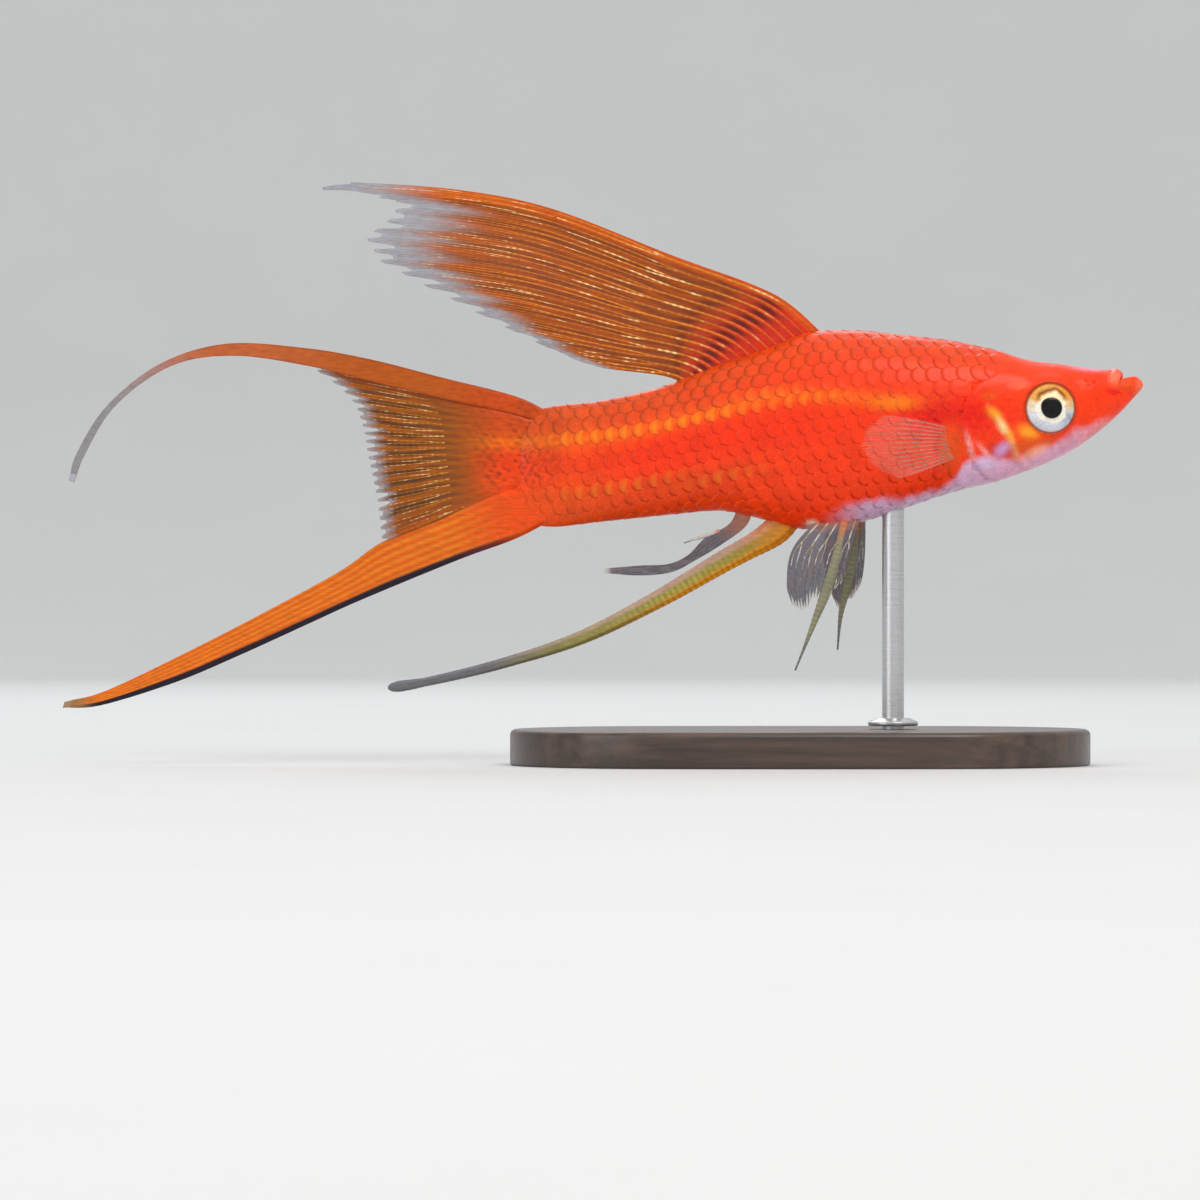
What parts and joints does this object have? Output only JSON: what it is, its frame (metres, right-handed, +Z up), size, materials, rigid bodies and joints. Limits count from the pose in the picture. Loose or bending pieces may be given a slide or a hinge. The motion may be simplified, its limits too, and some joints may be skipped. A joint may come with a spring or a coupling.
{
  "type": "red lyretail swordtail fish display model",
  "caption": "Life-size red male swordtail fish with a tall swept dorsal fin, arched upper tail streamer and long lower sword, held level on a small stand.",
  "frame": {"origin": "middle of the underside of the stand's base", "axes": "+X towards the snout, +Y to the fish's left, +Z up"},
  "size_m": [0.1081, 0.034, 0.0583],
  "materials": {
    "red_skin": "wet red-orange scaled skin with a lilac-silver underside",
    "eye": "silver iris with a gold top and a black pupil under clear gloss",
    "brown_fin": "translucent orange-brown web with golden rays",
    "orange_fin": "satin orange with a dark lower border",
    "clear_fin": "smoky clear web with pale rays",
    "stand_wood": "dark stained hardwood, satin lacquer",
    "stand_steel": "fine brushed steel"
  },
  "bodies": {
    "root": {"head": "red_skin", "lower_jaw": "red_skin", "gill_cover_left": "red_skin", "gill_cover_right": "red_skin", "trunk": "red_skin", "tail_stalk": "red_skin", "eye_left": "eye", "eye_right": "eye", "dorsal_fin": "brown_fin", "caudal_streamer_root": "orange_fin", "caudal_streamer_tip": "orange_fin", "caudal_fan": "brown_fin", "caudal_sword": "orange_fin", "gonopodium": "clear_fin", "anal_fin_rear": "clear_fin", "pelvic_fin_left": "clear_fin", "pelvic_fin_right": "clear_fin", "pectoral_fin_left": "clear_fin", "pectoral_fin_right": "clear_fin", "stand_base": "stand_wood", "stand_rod": "stand_steel"}
  },
  "joints": []
}
